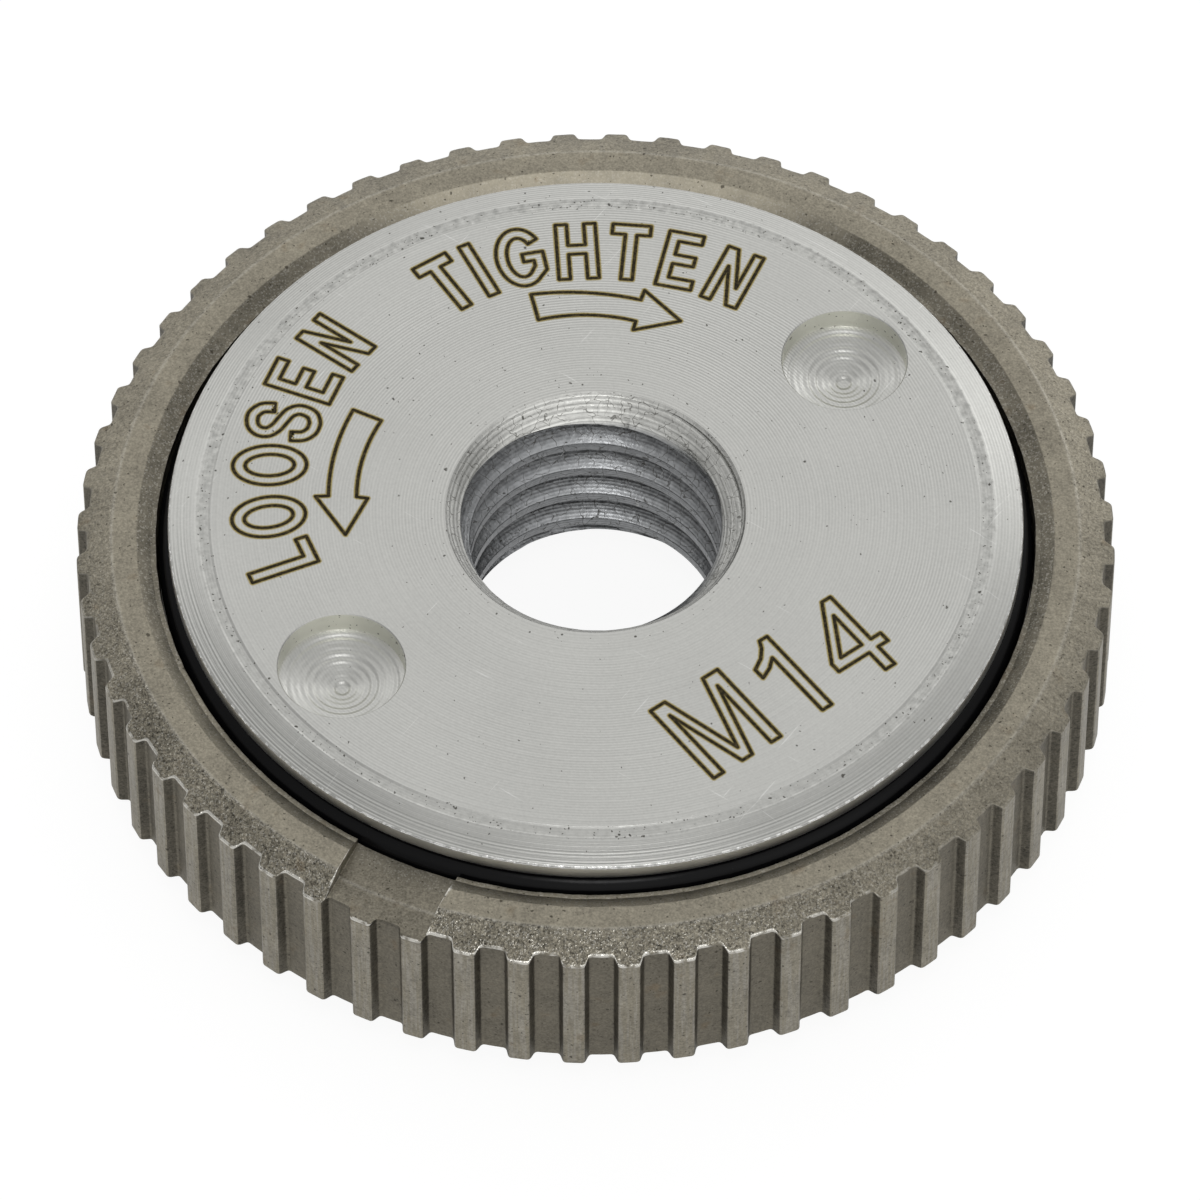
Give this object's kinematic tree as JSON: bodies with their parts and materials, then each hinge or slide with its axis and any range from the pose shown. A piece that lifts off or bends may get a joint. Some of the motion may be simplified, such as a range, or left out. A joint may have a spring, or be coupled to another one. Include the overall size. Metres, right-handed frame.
{
  "type": "quick release grinder nut",
  "caption": "Keyless clamping nut for a grinder spindle: threaded hub, ribbed grip ring turned by hand, and a ball-ramp thrust flange that lets the wheel go.",
  "frame": {"origin": "centre of the clamping face, on the spindle axis", "axes": "+Z along the spindle axis, from the clamping face up to the marked face; the notch in the grip ring lies towards -Y"},
  "size_m": [0.0494, 0.0494, 0.0126],
  "materials": {
    "machined_steel": "fine turned, satin",
    "sintered_steel": "sintered, fine grain with small pores",
    "hardened_steel": "ground",
    "ball_steel": "polished",
    "spring_steel": "dark phosphated",
    "black_rubber": "smooth, slightly oily"
  },
  "bodies": {
    "hub": {"threaded_hub": "machined_steel", "drive_pin_1": "hardened_steel", "drive_pin_2": "hardened_steel", "drive_pin_3": "hardened_steel", "rim_seal": "black_rubber", "snap_ring": "spring_steel", "lift_spring": "spring_steel", "return_spring": "spring_steel"},
    "ring": {"grip_ring": "sintered_steel", "ball_1": "ball_steel", "ball_2": "ball_steel", "ball_3": "ball_steel", "ball_4": "ball_steel", "ball_5": "ball_steel", "ball_6": "ball_steel"},
    "flange": {"thrust_flange": "hardened_steel", "flange_seal": "black_rubber"}
  },
  "joints": [
    {"name": "ring_turn", "type": "hinge", "parent": "hub", "child": "ring", "pos_m": [0, 0, 0.00725], "axis": [0, 0, 1], "range_deg": [0, 30], "stiffness_Nm_per_rad": 0.06, "springref_deg": -34.38, "deforming": ["return_spring"]},
    {"name": "flange_lift", "type": "slide", "parent": "hub", "child": "flange", "axis": [0, 0, 1], "range_m": [0, 0.0008], "deforming": ["lift_spring"]}
  ],
  "couplings": [
    {"joint": "flange_lift", "follows": "ring_turn", "m_per_rad": 0.0015279}
  ]
}
